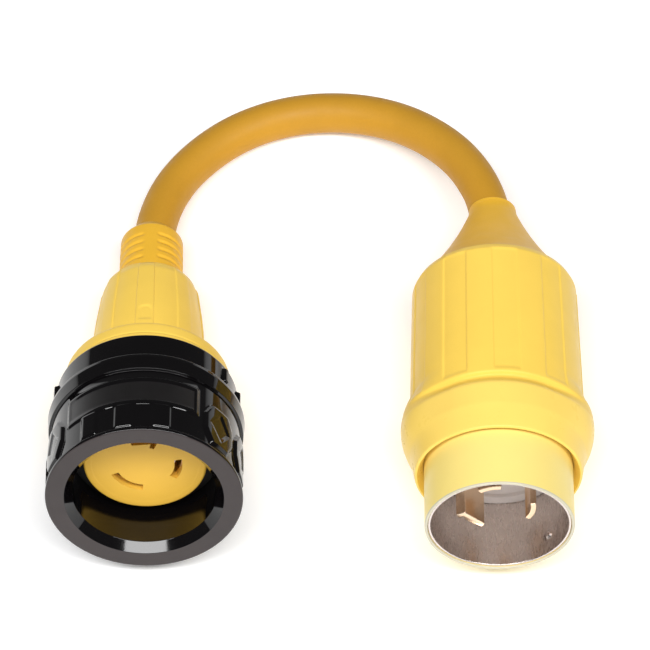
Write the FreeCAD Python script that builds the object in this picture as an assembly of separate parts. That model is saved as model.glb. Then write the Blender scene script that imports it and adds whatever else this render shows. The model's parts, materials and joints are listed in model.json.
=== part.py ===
import FreeCAD, Part
import math
import os

from FreeCAD import Placement, Rotation, Vector

# A shore-power dogbone adapter: a 30 A locking connector with a threaded sealing ring on one end
# of a short thick cord, and a 50 A locking plug in a moulded boot on the other. Millimetres, +Z up,
# mouths towards -Y, origin on the floor under the middle of the two housings.
#
# Both housings are turned bodies. A place in one is (r, s): r from its axis, s behind its mouth.
# Angles in a housing are seen from in front of the mouth: 0 is to the right, 90 is up.

# ---- where the housings lie ---------------------------------------------------------------
CONNECTOR_X = -66.8
CONNECTOR_MOUTH_Y = -65.9
CONNECTOR_TILT = 12.2  # the mouth looks up, because the ring rests on its collar
PLUG_X = 67.6
PLUG_MOUTH_Y = -75.3
PLUG_TILT = 4.0  # the plug lies on its flange and on the rear edge of its body

# ---- sealing ring ---------------------------------------------------------------------------
RING_LENGTH = 53.0
RING_LIP_R = 37.5
RING_BAND_R = 36.2  # front band and middle band, under their pads and panels
RING_REAR_R = 34.8
RING_COLLAR_R = 37.7
RING_GRIP_R = 37.7
RING_PAD_R = 37.1
RING_PANEL_R = 36.8
RING_BAND_END = 14.4  # the front band ends here
RING_WAIST = 28.4  # the middle band ends here
RING_COLLAR_START = 31.6
RING_COLLAR_END = 40.2
LIP_MOUTH_R = 30.3
BORE_R = 27.4
BORE_START = 3.4
BORE_END = 17.4
RELIEF_R = 28.4
SHOULDER = 24.0  # front wall of the groove that takes the boot's bead
GROOVE_END = 33.0
GROOVE_R = 33.7
REAR_BORE_R = 32.4
GRIP_SIDES = (8.5, 188.5)  # the middles of the two fields of grips, between the two panels
GRIP_STEP = 30.0
GRIP_HALF_ANGLE = 12.0
GRIP_END = 23.6
PANEL_HALF_ANGLE = 43.0
PAD_COUNT = 16
PAD_HALF_ANGLE = 5.4
REAR_RIB_STEP = 22.5

# ---- connector boot and what it holds ---------------------------------------------------------
FLANGE_R = 32.0
FLANGE_REAR = 64.0
BEAD_R = 33.2
BOOT_FRONT = 27.0
BOOT_R = 22.2
BOOT_END = 113.2
BOOT_RIBS = 8
FLUTE_DEPTH = 0.6
FACE_R = 23.5
FACE_S = 17.9
BLOCK_END = 60.5
CAVITY_R = 19.2
CAVITY_END = 102.0
RELIEF_SLEEVE_R = 12.2
RELIEF_END = 143.0
CONTACT_R = 12.7
SLOT_WIDTH = 2.6
CONTACT_ARCS = {"ground": (67.0, 115.0), "neutral": (204.0, 265.0), "hot": (-34.0, 11.0)}

# ---- plug boot and what it holds ----------------------------------------------------------------
NOSE_R = 28.4
NOSE_BORE_R = 27.25
NOSE_STEP = 22.95  # behind this the nose is a little thinner, where the boot grips it
NOSE_SEAT_R = 27.85
NOSE_END = 46.0
SHELL_R = 27.2
SHELL_BORE_R = 26.2
SHELL_END = 50.0
CARRIER_FRONT = 29.0
CARRIER_END = 52.0
LIP_S = 23.3
LIP_TIP_R = 31.2
LIP_SEAT = 27.8  # the bottom of the hollow between the lip and the nose
LIP_R = 32.6
COLLAR_R = 34.2  # the crest of the flange, with a groove behind it
COLLAR_S = 42.6
BULGE_R = 37.0  # the bulge goes round the flange's sides and underside
BULGE_S = 44.3
BULGE_FROM, BULGE_TO = 147.0, 393.0
BODY_FRONT = 48.8
BODY_FRONT_R = 33.5
BODY_REAR_R = 32.4
BODY_REAR = 111.6
PLUG_RIBS = 10
PLUG_CAVITY_R = 26.6
PLUG_CAVITY_END = 101.0
NECK_R = 9.4
PLUG_END = 151.0
STRAP_ANGLE = 300.0
BLADE_TIP = 8.0
BLADE_ROOT = 40.0
BLADE_THICK = 2.2
BLADE_ARCS = {"x": (13.0, -33.0, 12.0), "y": (13.0, 88.0, 127.0), "neutral": (15.0, 212.0, 248.0)}

# ---- cord ---------------------------------------------------------------------------------------
CORD_D = 16.0
CORD_EMBED = 18.0  # how far the jacket goes into each housing
CORD_FREE = 1.0  # how far outside it starts to turn
CORD_SAMPLE = 0.45  # an arc's tangent length, as a share of the shorter run beside it
# The free route between the two exits, chosen by hand: down off the connector, flat on the floor
# round the back of the arch, and up into the plug's neck.
CORD_ROUTE = [
    (-60.8, 98.8, 10.4),
    (-48.8, 116.6, 8.5),
    (-31.8, 130.4, 8.1),
    (-11.3, 138.0, 8.2),
    (10.4, 138.0, 10.2),
    (30.2, 130.4, 14.9),
    (46.8, 116.6, 20.8),
    (59.4, 99.4, 25.8),
]
CORE_D = 4.6
CORE_RING_R = 2.8  # the three cores lie on this radius inside the cord

GAP = 0.05  # between pieces that are fitted into each other


def at(r, s):
    return Vector(r, 0, -s)


def turned(*steps):
    """A solid of revolution. A step is (r, s), or (r mid, s mid, r, s) for an arc to r, s."""
    edges = []
    here = at(*steps[0])
    for step in steps[1:] + (steps[0],):
        there = at(*step[-2:])
        if len(step) == 4:
            edges.append(Part.Arc(here, at(*step[:2]), there).toShape())
        elif (there - here).Length > 1e-6:
            edges.append(Part.LineSegment(here, there).toShape())
        here = there
    return Part.Face(Part.Wire(edges)).revolve(Vector(), Vector(0, 0, 1), 360)


def polar(r, angle, s):
    a = math.radians(angle)
    return Vector(r * math.cos(a), r * math.sin(a), -s)


def sector(r0, r1, a0, a1, s0, s1):
    """The block between two radii, two angles and two depths."""
    mid = (a0 + a1) / 2
    edges = [
        Part.Arc(polar(r1, a0, s0), polar(r1, mid, s0), polar(r1, a1, s0)).toShape(),
        Part.LineSegment(polar(r1, a1, s0), polar(r0, a1, s0)).toShape(),
        Part.Arc(polar(r0, a1, s0), polar(r0, mid, s0), polar(r0, a0, s0)).toShape(),
        Part.LineSegment(polar(r0, a0, s0), polar(r1, a0, s0)).toShape(),
    ]
    return Part.Face(Part.Wire(edges)).extrude(Vector(0, 0, s0 - s1))


def rod(start, end, radius):
    along = end - start
    return Part.makeCylinder(radius, along.Length, start, along)


def plate(outline, angle, r0, r1):
    """A plate on a round body at angle, between two radii. Its outline is in (across, s)."""
    points = [Vector(10, x, -s) for x, s in outline]
    face = Part.Face(Part.makePolygon(points + points[:1]))
    block = face.extrude(Vector(50, 0, 0))
    low = min(s for _, s in outline) - 1
    high = max(s for _, s in outline) + 1
    block = block.common(turned((r0, low), (r1, low), (r1, high), (r0, high)))
    block.rotate(Vector(), Vector(0, 0, 1), angle)
    return block


def fuse(shapes):
    return shapes[0].multiFuse(shapes[1:]).removeSplitter()


def cut(shape, tools):
    return shape.cut(Part.makeCompound(tools)) if tools else shape


# ---- sealing ring -----------------------------------------------------------------------------


def ring_blank():
    return turned(
        (LIP_MOUTH_R, 0),
        (RING_LIP_R - 0.8, 0),
        (RING_LIP_R - 0.23, 0.23, RING_LIP_R, 0.8),
        (RING_LIP_R, 1.6),
        (RING_BAND_R, 2.1),
        (RING_BAND_R, RING_COLLAR_START + 0.4),
        (RING_COLLAR_R - 0.4, RING_COLLAR_START + 1.2),
        (RING_COLLAR_R, RING_COLLAR_END - 2.0),
        (RING_COLLAR_R - 0.2, RING_COLLAR_END - 0.5, RING_COLLAR_R - 1.2, RING_COLLAR_END),
        (RING_REAR_R, RING_COLLAR_END),
        (RING_REAR_R, RING_LENGTH - 0.8),
        (RING_REAR_R - 0.8, RING_LENGTH),
        (REAR_BORE_R, RING_LENGTH),
        (REAR_BORE_R, GROOVE_END),
        (GROOVE_R, GROOVE_END),
        (GROOVE_R, SHOULDER),
        (RELIEF_R, SHOULDER),
        (RELIEF_R, BORE_END),
        (BORE_R, BORE_END),
        (BORE_R, BORE_START),
    )


def ring_grip(angle):
    """A six-sided grip with a sunken lozenge."""
    half = RING_GRIP_R * math.radians(GRIP_HALF_ANGLE)
    low, high = 4.2, GRIP_END
    outline = [(-half * 0.55, low), (half * 0.55, low), (half, low + 6), (half, high - 6)]
    outline += [(half * 0.55, high), (-half * 0.55, high), (-half, high - 6), (-half, low + 6)]
    mid, side = (low + high) / 2, half * 0.6
    lozenge = [(0, low + 3.5), (side, mid), (0, high - 3.5), (-side, mid)]
    grip = plate(outline, angle, RING_BAND_R - 1, RING_GRIP_R)
    return grip.cut(plate(lozenge, angle, RING_GRIP_R - 0.8, RING_GRIP_R + 2))


def ring_panel(angle):
    """A raised frame round a plain field, on the middle band."""
    s0, s1 = RING_BAND_END, RING_WAIST
    half = PANEL_HALF_ANGLE
    block = sector(RING_BAND_R - 1, RING_PANEL_R, angle - half, angle + half, s0, s1)
    low, high = angle - half + 3, angle + half - 3
    return block.cut(sector(RING_PANEL_R - 0.4, RING_PANEL_R + 1, low, high, s0 + 2.2, s1 - 1.6))


def ring_pads():
    """The pads of the front band, which stop short of the grips."""
    pads = []
    half = PAD_HALF_ANGLE
    for i in range(PAD_COUNT):
        angle = 90 + (i + 0.5) * 360 / PAD_COUNT
        away = min(abs((angle - side + 180) % 360 - 180) for side in GRIP_SIDES)
        if away > 94 - PANEL_HALF_ANGLE:
            pads.append(sector(RING_BAND_R - 1, RING_PAD_R, angle - half, angle + half, 3.1, RING_BAND_END))
    return pads


def sealing_ring():
    extras = ring_pads()
    for side in GRIP_SIDES:
        extras.append(ring_panel(side + 90))
        for k in (-1, 0, 1):
            extras.append(ring_grip(side + k * GRIP_STEP))
            rib = side + k * REAR_RIB_STEP
            extras.append(sector(RING_REAR_R - 1, RING_REAR_R + 2, rib - 2, rib + 2, 43.5, 50.4))
    return fuse([ring_blank()] + extras)


def ring_retainer():
    """The split nylon ring in the groove, behind the boot's bead."""
    r0, r1 = FLANGE_R + 0.3, GROOVE_R - 0.06
    ring = turned((r0, 31.85), (r1, 31.85), (r1, 32.94), (r0, 32.94))
    return ring.cut(sector(r0 - 1, r1 + 1, 268, 272, 31, 34))


# ---- connector --------------------------------------------------------------------------------


def boot_outside(inset):
    """The boot's outer form. Its fluted stretch is inset by this much."""
    body = BOOT_R - inset
    return turned(
        (0, BOOT_FRONT),
        (BEAD_R - 0.5, BOOT_FRONT),
        (BEAD_R, BOOT_FRONT + 0.5),
        (BEAD_R, BOOT_FRONT + 2.2),
        (FLANGE_R, BOOT_FRONT + 3.2),
        (FLANGE_R, FLANGE_REAR - 2.0),
        (FLANGE_R - 0.6, FLANGE_REAR - 0.6, FLANGE_R - 2.0, FLANGE_REAR),
        (24.6, FLANGE_REAR + 1.2),
        (body + 0.9, FLANGE_REAR + 2.0, body, FLANGE_REAR + 4.5),
        (body - 1.2, 89.0, body - 2.9, 105.0),
        (body - 4.2, 109.8, 14.9, BOOT_END - 0.4),
        (14.3, BOOT_END),
        (0, BOOT_END),
    )


def fluted(outside, depth, ribs, first, half, s0, s1):
    """A turned body with shallow flutes between its ribs."""
    wedges = [
        sector(3, 60, first + i * 360 / ribs - half, first + i * 360 / ribs + half, s0, s1)
        for i in range(ribs)
    ]
    full = outside(0)
    return outside(depth).fuse(full.common(Part.makeCompound(wedges))).removeSplitter()


def arch_mark(angle):
    """A sunken finger mark with a rounded rear end."""
    r = 2.6
    outline = [(-r, 75.0), (r, 75.0), (r, 80.0)]
    outline += [(r * math.cos(a), 80 + r * math.sin(a)) for a in (0.5, 1.05, 1.57, 2.09, 2.64)]
    outline += [(-r, 80.0)]
    return plate(outline, angle, BOOT_R - 1.0, BOOT_R + 3)


def connector_boot():
    body = fluted(boot_outside, FLUTE_DEPTH, BOOT_RIBS, 93, 9.3, FLANGE_REAR + 2.2, BOOT_END - 3)
    inside = turned(
        (0, BOOT_FRONT - 1),
        (FACE_R + GAP, BOOT_FRONT - 1),
        (FACE_R + GAP, BLOCK_END + 0.3),
        (CAVITY_R, BLOCK_END + 0.3),
        (CAVITY_R, 92.0),
        (13.5, CAVITY_END),
        (9.6, CAVITY_END),
        (9.6, BOOT_END + 1),
        (0, BOOT_END + 1),
    )
    return cut(body, [inside, arch_mark(92)])


def connector_strain_relief():
    """A stepped sleeve on the cord, with short grooves on each side of two smooth strips."""
    r = RELIEF_SLEEVE_R
    bore = CORD_D / 2 + GAP
    sleeve = turned(
        (bore, RELIEF_END - CORD_EMBED - 0.2),
        (5.2, RELIEF_END - CORD_EMBED - 0.2),
        (5.2, CAVITY_END + 0.3),
        (9.55, CAVITY_END + 0.3),
        (9.55, BOOT_END + GAP),
        (r + 0.3, BOOT_END + GAP),
        (r, RELIEF_END - 4.7),
        (9.1, RELIEF_END - 0.5),
        (8.9, RELIEF_END - 0.1, bore + 0.5, RELIEF_END),
        (bore, RELIEF_END),
    )
    grooves = []
    for i in range(4):
        s = 119.0 + 4.2 * i
        for middle in (0, 180):
            grooves.append(sector(r - 0.7, r + 3, middle - 76, middle + 76, s, s + 1.3))
    return cut(sleeve, grooves)


def contact_slot(name, grow, s0, s1):
    a0, a1 = CONTACT_ARCS[name]
    slot = sector(CONTACT_R - grow, CONTACT_R + grow, a0, a1, s0, s1)
    if name == "ground":
        tab = sector(CONTACT_R - 3.7, CONTACT_R, a0, a0 + 11, s0, s1)
        slot = slot.fuse(tab)
    return slot


def contact_pocket(name, play):
    a0, a1 = CONTACT_ARCS[name]
    return sector(9.2 - play, 16.2 + play, a0 - 6 - play, a1 + 6 + play, 21.5, BLOCK_END + 1)


def contact_block():
    """The connector's yellow insulating face, with a slot into each contact's pocket."""
    block = turned(
        (0, FACE_S),
        (FACE_R - 0.8, FACE_S),
        (FACE_R - 0.23, FACE_S + 0.23, FACE_R, FACE_S + 0.8),
        (FACE_R, BLOCK_END),
        (0, BLOCK_END),
    )
    tools = [contact_slot(n, SLOT_WIDTH / 2, FACE_S - 1, 22) for n in CONTACT_ARCS]
    tools += [contact_pocket(n, GAP) for n in CONTACT_ARCS]
    return cut(block, tools)


def contact_middle(name):
    return sum(CONTACT_ARCS[name]) / 2


def socket_contact(name):
    """A brass contact: two sprung leaves in front of a solid foot with a screw hole."""
    a0, a1 = CONTACT_ARCS[name]
    mouth = sector(CONTACT_R - 1.2, CONTACT_R + 1.2, a0 - 7, a1 + 7, 20, 46)
    if name == "ground":
        mouth = mouth.fuse(sector(7, CONTACT_R, a0 - 1, a0 + 12, 20, 46))
    middle = contact_middle(name)
    hole = rod(polar(CONTACT_R, middle, 50), polar(CONTACT_R, middle, 62), 1.75)
    foot_cut = sector(5, 20, a0 - 20, a1 + 20, 57.5, 64)
    return cut(contact_pocket(name, 0), [mouth, hole, foot_cut])


def connector_terminal_screws():
    screws = []
    for name in CONTACT_ARCS:
        a = contact_middle(name)
        shank = rod(polar(CONTACT_R, a, 51), polar(CONTACT_R, a, 57.6), 1.7)
        head = rod(polar(CONTACT_R, a, 57.6), polar(CONTACT_R, a, 60.2), 3.0)
        slot = Part.makeBox(8, 0.8, 1.0, Vector(-4, -0.4, -0.5))
        slot.translate(polar(CONTACT_R, a, 60.2))
        screws.append(shank.fuse(head).cut(slot))
    return Part.makeCompound(screws)


def connector_housing():
    """The black cup behind the contact block that closes the wiring space."""
    r = CAVITY_R - 0.1
    cup = turned(
        (r - 2.2, BLOCK_END + 0.35),
        (r, BLOCK_END + 0.35),
        (r, 90.5),
        (12.0, 98.5),
        (9.0, 98.5),
        (9.0, 96.0),
        (r - 2.2, 88.0),
    )
    return cup


def face_gasket():
    r0, r1 = FACE_R + 0.3, 31.6
    return turned((r0, 25.3), (r1, 25.3), (r1, BOOT_FRONT), (r0, BOOT_FRONT))


def core_path(places):
    """A bent insulated core: straight rods with a ball at each bend."""
    parts = [rod(a, b, CORE_D / 2) for a, b in zip(places, places[1:])]
    parts += [Part.makeSphere(CORE_D / 2, p) for p in places[1:-1]]
    return fuse(parts)


def connector_core(name):
    """One insulated core from the cord's end to its terminal."""
    a = contact_middle(name)
    end = RELIEF_END - CORD_EMBED - 0.4
    first = {"ground": 90.0, "neutral": 210.0, "hot": 330.0}[name]
    places = [polar(CORE_RING_R, first, end), polar(CORE_RING_R, first, 100.0)]
    places += [polar(CONTACT_R, a, 70.0), polar(CONTACT_R, a, 60.7)]
    return core_path(places)


# ---- plug ---------------------------------------------------------------------------------------


def plug_outside(inset):
    """The plug boot without its bulge: a lip, a flange, a fluted body and a hollow-sided cone."""
    front, rear = BODY_FRONT_R - inset, BODY_REAR_R - inset
    return turned(
        (0, LIP_SEAT),
        (NOSE_SEAT_R + 0.6, LIP_SEAT),
        (LIP_TIP_R, LIP_S),
        (LIP_R - 0.4, LIP_S + 1.0, LIP_R, LIP_S + 3.3),
        (COLLAR_R - 0.4, COLLAR_S - 1.6),
        (COLLAR_R, COLLAR_S, COLLAR_R - 0.6, COLLAR_S + 1.5),
        (COLLAR_R - 1.4, COLLAR_S + 3.0),
        (BODY_FRONT_R - 0.4, BODY_FRONT - 1.9, BODY_FRONT_R, BODY_FRONT),
        (BODY_FRONT_R, BODY_FRONT + 2.4),
        (front, BODY_FRONT + 3.0),
        (rear, BODY_REAR - 1.2),
        (rear - 0.2, BODY_REAR - 0.4, rear - 1.0, BODY_REAR),
        (29.8, BODY_REAR + 0.7),
        (17.4, 131.0, 9.6, 148.4),
        (NECK_R, PLUG_END - 0.6),
        (0, PLUG_END - 0.6),
    )


def plug_bulge():
    """The rounded bulge on the flange's sides and underside."""
    bulge = turned(
        (31.0, LIP_S + 8.0),
        (LIP_R + 0.4, LIP_S + 8.0),
        (BULGE_R, BULGE_S, BODY_FRONT_R + 0.8, 57.6),
        (BODY_FRONT_R - 0.4, 59.4),
        (31.0, 59.4),
    )
    return bulge.common(sector(25, 50, BULGE_FROM, BULGE_TO, 25, 65))


def plug_boot():
    body = fluted(plug_outside, FLUTE_DEPTH, PLUG_RIBS, 102.5, 9.2, BODY_FRONT + 3.2, BODY_REAR + 0.2)
    body = fuse([body, plug_bulge()])
    inside = turned(
        (0, LIP_S - 1),
        (NOSE_SEAT_R + GAP, LIP_S - 1),
        (NOSE_SEAT_R + GAP, NOSE_END + 0.2),
        (PLUG_CAVITY_R + 1.0, NOSE_END + 0.2),
        (PLUG_CAVITY_R + 1.0, SHELL_END + 0.3),
        (PLUG_CAVITY_R, SHELL_END + 0.3),
        (PLUG_CAVITY_R, 92.0),
        (17.0, PLUG_CAVITY_END),
        (8.8, PLUG_CAVITY_END),
        (8.8, PLUG_END + 1),
        (0, PLUG_END + 1),
    )
    return cut(body, [inside])


def plug_nose():
    """The pale sleeve round the shell, with a rounded rim."""
    mid = (NOSE_R + NOSE_BORE_R) / 2
    half = (NOSE_R - NOSE_BORE_R) / 2
    return turned(
        (NOSE_BORE_R, half),
        (mid, 0, NOSE_R, half),
        (NOSE_R, NOSE_STEP),
        (NOSE_SEAT_R, NOSE_STEP),
        (NOSE_SEAT_R, NOSE_END),
        (NOSE_BORE_R, NOSE_END),
    )


def ground_shell():
    """The plated steel shell that lines the nose, with one pressed-in locking dimple."""
    shell = turned((SHELL_BORE_R, 0.7), (SHELL_R, 0.7), (SHELL_R, SHELL_END), (SHELL_BORE_R, SHELL_END))
    outline = [(-2.2, 9.5), (2.2, 9.5), (2.2, 13.5), (-2.2, 13.5)]
    return fuse([shell, plate(outline, 318, SHELL_BORE_R - 1.0, SHELL_BORE_R + 0.4)])


def blade(name, play):
    """A curved brass blade. Play makes it larger, for its hole in the carrier."""
    r, a0, a1 = BLADE_ARCS[name]
    half = BLADE_THICK / 2 + play
    turn = math.degrees(play / r)
    bar = sector(r - half, r + half, a0 - turn, a1 + turn, BLADE_TIP, BLADE_ROOT)
    if name == "neutral":
        tab = sector(r - half, r + 2.7 + play, a0 - 9 - turn, a0 + turn, BLADE_TIP, BLADE_ROOT)
        bar = bar.fuse(tab).removeSplitter()
    return bar


def blade_carrier():
    disc = turned(
        (0, CARRIER_FRONT),
        (SHELL_BORE_R - GAP - 0.5, CARRIER_FRONT),
        (SHELL_BORE_R - GAP, CARRIER_FRONT + 0.5),
        (SHELL_BORE_R - GAP, CARRIER_END),
        (0, CARRIER_END),
    )
    tools = [blade(n, 0.02) for n in BLADE_ARCS]
    tools += [screw_axis(n, BLADE_ROOT - 1, CARRIER_END + 1, 2.1) for n in BLADE_ARCS]
    return cut(disc, tools + [strap_notch(0.1)])


def screw_axis(name, s0, s1, radius):
    r, a0, a1 = BLADE_ARCS[name]
    a = (a0 + a1) / 2
    return rod(polar(r, a, s0), polar(r, a, s1), radius)


def plug_terminal_screws():
    screws = []
    for name in BLADE_ARCS:
        shank = screw_axis(name, BLADE_ROOT + 0.2, CARRIER_END + 0.2, 2.0)
        head = screw_axis(name, CARRIER_END + 0.2, CARRIER_END + 2.8, 3.4)
        screws.append(shank.fuse(head).removeSplitter())
    return Part.makeCompound(screws)


def strap_notch(play):
    half = 3.5 + play
    return sector(24.4 - play, SHELL_BORE_R, STRAP_ANGLE - half, STRAP_ANGLE + half, 44 - play, 53.5)


def ground_strap():
    """The brass strap from the steel shell, over the carrier, to the ground core."""
    a0, a1 = STRAP_ANGLE - 3.5, STRAP_ANGLE + 3.5
    foot = sector(24.4, SHELL_BORE_R - GAP, a0, a1, 44, 53.5)
    arm = sector(14.0, 24.5, a0, a1, CARRIER_END + 0.1, 53.5)
    return fuse([foot, arm])


def plug_housing():
    """The black cup behind the blade carrier."""
    r = PLUG_CAVITY_R - 0.1
    return turned(
        (r - 2.4, 53.8),
        (r, 53.8),
        (r, 90.5),
        (17.0, 99.6),
        (9.2, 99.6),
        (9.2, 97.0),
        (16.0, 97.0),
        (r - 2.4, 89.0),
    )


def plug_neck_collar():
    """The small round collar where the cord comes out of the cone."""
    bore = CORD_D / 2 + GAP
    end = PLUG_END
    return turned(
        (bore, end - CORD_EMBED - 0.2),
        (8.75, end - CORD_EMBED - 0.2),
        (8.75, end - 0.55),
        (NECK_R, end - 0.55),
        (NECK_R, end + 0.8),
        (NECK_R - 0.4, end + 1.2),
        (bore, end + 1.2),
    )


def plug_core(name):
    first = {"x": 50.0, "neutral": 170.0, "ground": 290.0}[name]
    end = PLUG_END - CORD_EMBED - 0.4
    if name == "ground":
        target, stop = polar(16.5, STRAP_ANGLE, 72.0), polar(16.5, STRAP_ANGLE, CARRIER_END + 1.8)
    else:
        r, a0, a1 = BLADE_ARCS[name]
        target = polar(r, (a0 + a1) / 2, 70.0)
        stop = polar(r, (a0 + a1) / 2, CARRIER_END + 3.0)
    return core_path([polar(CORE_RING_R, first, end), polar(CORE_RING_R, first, 98.0), target, stop])


# ---- cord ---------------------------------------------------------------------------------------


def standing(x, y, tilt, piece):
    """The placement that tilts a housing up and stands this piece of it on the floor."""
    frame = Placement(Vector(x, y, 0), Rotation(Vector(1, 0, 0), 90 - tilt))
    lowest = min(p.z for p in piece.transformed(frame.toMatrix()).tessellate(0.02)[0])
    frame.Base = Vector(x, y, -lowest)
    return frame


def cord_points(connector, plug):
    start = connector.multVec(at(0, RELIEF_END - CORD_EMBED))
    first = connector.multVec(at(0, RELIEF_END + CORD_FREE))
    last = plug.multVec(at(0, PLUG_END + CORD_FREE))
    end = plug.multVec(at(0, PLUG_END - CORD_EMBED))
    return [start, first] + [Vector(*p) for p in CORD_ROUTE] + [last, end]


def cord_jacket(points):
    """A plain tube: straight runs joined by tangent arcs as large as the runs allow."""
    edges = []
    here = points[0]
    for before, corner, after in zip(points, points[1:], points[2:]):
        back, on = before - corner, after - corner
        run = CORD_SAMPLE * min(back.Length, on.Length)
        turn = math.pi - back.getAngle(on)
        radius = run / math.tan(turn / 2)
        start = corner + back.normalize() * run
        end = corner + on.normalize() * run
        inward = (back + on).normalize()
        middle = corner + inward * (math.hypot(run, radius) - radius)
        edges.append(Part.LineSegment(here, start).toShape())
        edges.append(Part.Arc(start, middle, end).toShape())
        print("bend of %5.1f degrees, radius %6.1f mm" % (math.degrees(turn), radius))
        here = end
    edges.append(Part.LineSegment(here, points[-1]).toShape())
    path = Part.Wire(edges)
    ring = Part.Wire(Part.makeCircle(CORD_D / 2, points[0], points[1] - points[0]))
    tube = path.makePipeShell([ring], True, False)
    ideal = math.pi * (CORD_D / 2) ** 2 * path.Length
    print("cord %.1f mm long, volume over section x length %.4f" % (path.Length, tube.Volume / ideal))
    return tube


# ---- the whole adapter --------------------------------------------------------------------------


def connector_pieces():
    pieces = {
        "sealing_ring": sealing_ring(),
        "ring_retainer": ring_retainer(),
        "connector_boot": connector_boot(),
        "connector_strain_relief": connector_strain_relief(),
        "contact_block": contact_block(),
        "face_gasket": face_gasket(),
        "connector_terminal_screws": connector_terminal_screws(),
        "connector_housing": connector_housing(),
    }
    for name in CONTACT_ARCS:
        pieces[name + "_contact"] = socket_contact(name)
        pieces["connector_" + name + "_core"] = connector_core(name)
    return pieces


def plug_pieces():
    pieces = {
        "plug_boot": plug_boot(),
        "plug_nose": plug_nose(),
        "ground_shell": ground_shell(),
        "blade_carrier": blade_carrier(),
        "plug_terminal_screws": plug_terminal_screws(),
        "ground_strap": ground_strap(),
        "plug_housing": plug_housing(),
        "plug_neck_collar": plug_neck_collar(),
    }
    for name in BLADE_ARCS:
        pieces["blade_" + name] = blade(name, 0)
    for name in ("x", "neutral", "ground"):
        pieces["plug_" + name + "_core"] = plug_core(name)
    return pieces


def main():
    os.makedirs("parts", exist_ok=True)
    connector_shapes, plug_shapes = connector_pieces(), plug_pieces()
    connector = standing(CONNECTOR_X, CONNECTOR_MOUTH_Y, CONNECTOR_TILT, connector_shapes["sealing_ring"])
    plug = standing(PLUG_X, PLUG_MOUTH_Y, PLUG_TILT, plug_shapes["plug_boot"])
    placed = {"cord_jacket": cord_jacket(cord_points(connector, plug))}
    for label, frame, shapes in (("connector", connector, connector_shapes), ("plug", plug, plug_shapes)):
        print(label, "mouth", frame.Base, "faces", frame.multVec(at(0, -1)) - frame.Base)
        for name, shape in shapes.items():
            placed[name] = shape.transformed(frame.toMatrix())
    for name, shape in placed.items():
        if not shape.isValid():
            print(name, "is not valid")
        shape.exportStep("parts/%s.step" % name)


main()
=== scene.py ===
import json
import math

import bmesh
import bpy
from mathutils import Matrix, Vector


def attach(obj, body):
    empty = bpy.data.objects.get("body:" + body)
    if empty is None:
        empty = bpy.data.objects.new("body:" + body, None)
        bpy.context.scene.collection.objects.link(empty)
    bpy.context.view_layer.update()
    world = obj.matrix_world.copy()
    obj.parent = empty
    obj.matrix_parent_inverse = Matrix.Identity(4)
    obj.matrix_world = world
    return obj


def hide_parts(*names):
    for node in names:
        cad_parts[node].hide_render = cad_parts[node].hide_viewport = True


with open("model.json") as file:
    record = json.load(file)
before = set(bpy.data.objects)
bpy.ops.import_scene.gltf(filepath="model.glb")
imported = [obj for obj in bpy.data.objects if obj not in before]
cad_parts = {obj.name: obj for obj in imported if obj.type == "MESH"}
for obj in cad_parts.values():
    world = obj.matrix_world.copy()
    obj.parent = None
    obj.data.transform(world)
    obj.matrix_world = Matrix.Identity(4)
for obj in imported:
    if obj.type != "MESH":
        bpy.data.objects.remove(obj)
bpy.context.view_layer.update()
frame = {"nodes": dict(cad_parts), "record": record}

# A shore-power dogbone adapter. Shapes are worked out in millimetres in each housing's own frame:
# r from its axis, s behind its mouth, and an angle seen from in front of the mouth, 0 to the right
# and 90 up. Every mesh ends up in metres in the row frame.
MM = 0.001
CORD_D = 0.016
CORD_BORE_R = CORD_D / 2 / MM + 0.05

# ---- the housings' frames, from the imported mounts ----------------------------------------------


def housing(mount, depth):
    """The matrix from a housing's frame, in mm with +z out of its mouth, to the row frame.

    Depth is how far behind the mouth the mount stands, in mm.
    """
    place = next(m for m in frame["record"]["mounts"] if m["name"] == mount)
    out = Vector(place["axis"]).normalized()
    right = Vector((1, 0, 0))
    turn = Matrix((right, out.cross(right), out)).transposed().to_4x4()
    mouth = Vector(place["pos_m"]) + out * depth * MM
    return Matrix.Translation(mouth) @ turn @ Matrix.Scale(MM, 4)


RING_MOUNT_DEPTH = 10.4
NOSE_MOUNT_DEPTH = 11.76
CONNECTOR = housing("ring_mouth", RING_MOUNT_DEPTH)
PLUG = housing("plug_nose", NOSE_MOUNT_DEPTH)

# ---- camera, floor and light -------------------------------------------------------------------

LOOK_DOWN = 56.83
CAMERA_DISTANCE = 2.2
LENS = 308.3
TARGET = Vector((0.0016, 0.0420, 0.0))
FLOOR_HALF = 7.0
FLOOR_WHITE = 0.93
FLOOR_GLOW = 0.2
SKY_RADIANCE = 0.10
LIGHT_DISTANCE = 2.4


def towards(elevation):
    """The direction from the object to something in front of it at this elevation."""
    e = math.radians(elevation)
    return Vector((0, -math.cos(e), math.sin(e)))


def aimed(obj, place, target):
    obj.location = place
    obj.rotation_euler = (target - place).to_track_quat("-Z", "Y").to_euler()
    bpy.context.scene.collection.objects.link(obj)
    return obj


def add_camera():
    data = bpy.data.cameras.new("camera")
    data.lens = LENS
    data.clip_end = 60
    place = TARGET + towards(LOOK_DOWN) * CAMERA_DISTANCE
    bpy.context.scene.camera = aimed(bpy.data.objects.new("camera", data), place, TARGET)


def add_light(name, direction, width, height, radiance):
    """A rectangular softbox. Radiance is what a mirror would show of it."""
    data = bpy.data.lights.new(name, "AREA")
    data.shape = "RECTANGLE"
    data.size = width
    data.size_y = height
    data.energy = radiance * math.pi * width * height
    place = TARGET + Vector(direction).normalized() * LIGHT_DISTANCE
    aimed(bpy.data.objects.new(name, data), place, TARGET)


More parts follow.
